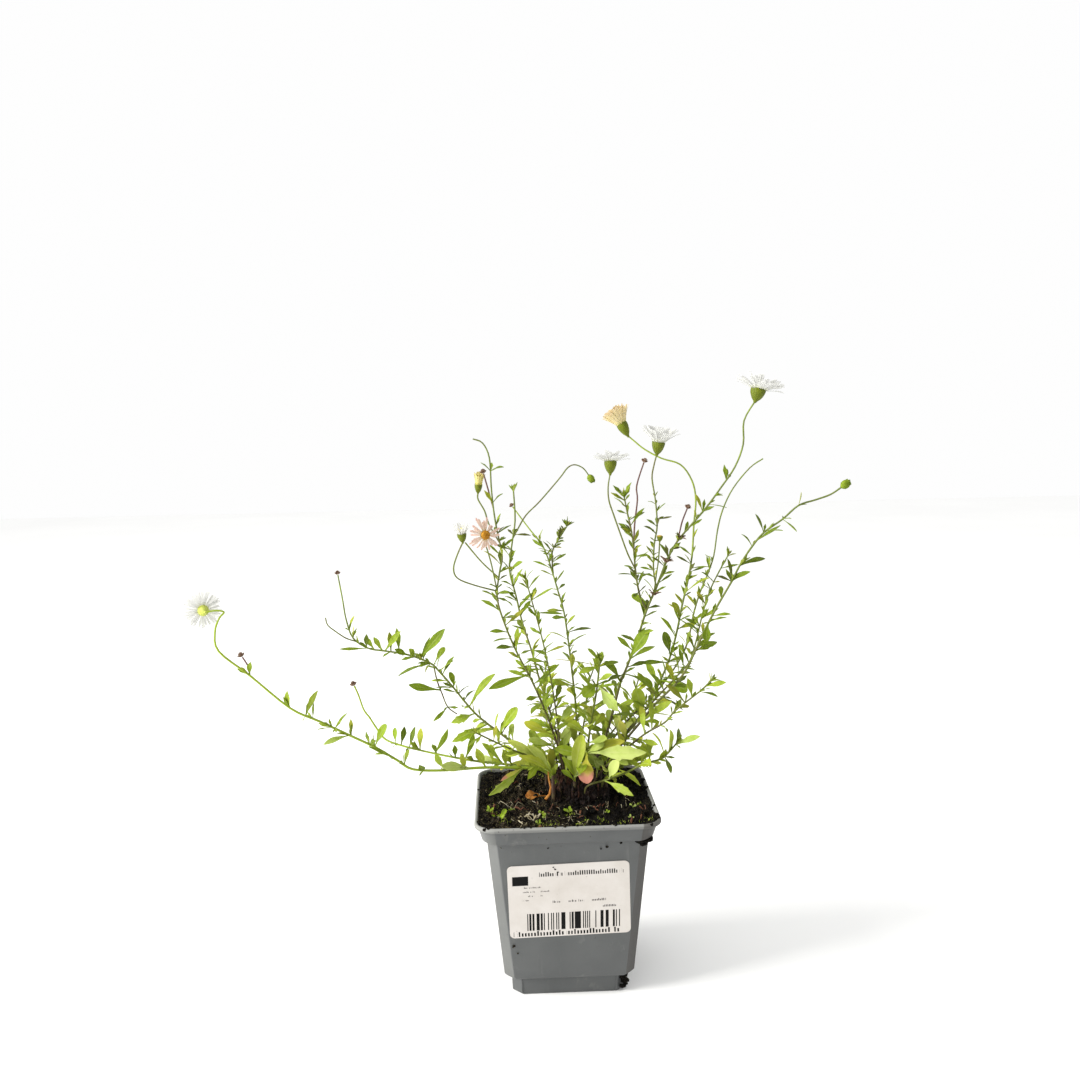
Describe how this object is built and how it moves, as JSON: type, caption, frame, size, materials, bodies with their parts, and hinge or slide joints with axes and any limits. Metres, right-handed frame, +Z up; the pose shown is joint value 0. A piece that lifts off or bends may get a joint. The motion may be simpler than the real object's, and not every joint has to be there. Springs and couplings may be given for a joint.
{
  "type": "potted mexican fleabane",
  "caption": "Young mexican fleabane daisy with thin leafy stems and small white flowers in a square nursery pot filled with peat.",
  "frame": {"origin": "middle of the flat foot that the pot stands on", "axes": "+Z up, -Y towards the labelled front of the pot, +X to the right as seen from the front"},
  "size_m": [0.3105, 0.1118, 0.3007],
  "materials": {
    "pot": "moulded grey plastic, slightly dusty",
    "label": "white paper sticker with a satin coat",
    "soil": "dark crumbly peat",
    "crown": "dry woody knot",
    "leaf": "soft downy green leaf and stem",
    "dead_leaf": "dry orange leaf",
    "ray_white": "soft white petal",
    "ray_cream": "soft cream petal",
    "ray_pink": "soft pale pink petal",
    "disc": "matt yellow florets",
    "spent_head": "dry brown flower head"
  },
  "bodies": {
    "root": {"basal_leaves_back": "leaf", "basal_leaves_back_left": "leaf", "basal_leaves_back_right": "leaf", "basal_leaves_front": "leaf", "basal_leaves_left": "leaf", "basal_leaves_right": "leaf", "crown": "crown", "disc_pink": "disc", "disc_small_white": "disc", "disc_white_high": "disc", "disc_white_left": "disc", "disc_white_middle": "disc", "disc_white_top": "disc", "fallen_leaf": "dead_leaf", "label": "label", "pot": "pot", "rays_cream": "ray_cream", "rays_pink": "ray_pink", "rays_small_white": "ray_white", "rays_small_yellow": "ray_cream", "rays_white_high": "ray_white", "rays_white_left": "ray_white", "rays_white_middle": "ray_white", "rays_white_top": "ray_white", "soil": "soil", "spent_head_centre": "spent_head", "spent_head_far_left": "spent_head", "spent_head_high_left": "spent_head", "spent_head_low_left": "spent_head", "spent_head_right_inner": "spent_head", "spent_head_right_middle": "spent_head", "spent_head_tall_thin": "spent_head", "stem_back_left": "leaf", "stem_back_middle": "leaf", "stem_back_right": "leaf", "stem_centre_back": "leaf", "stem_centre_shoot": "leaf", "stem_far_right": "leaf", "stem_front_left": "leaf", "stem_left_back": "leaf", "stem_low_left": "leaf", "stem_low_right": "leaf", "stem_right_back": "leaf", "stem_right_cream": "leaf", "stem_right_front": "leaf", "stem_right_middle": "leaf", "stem_right_shoot": "leaf", "stem_right_tall": "leaf", "stem_rising_left": "leaf", "stem_tall_thin": "leaf", "stem_thin_brown": "leaf", "stem_trailing_left": "leaf"}
  },
  "joints": []
}
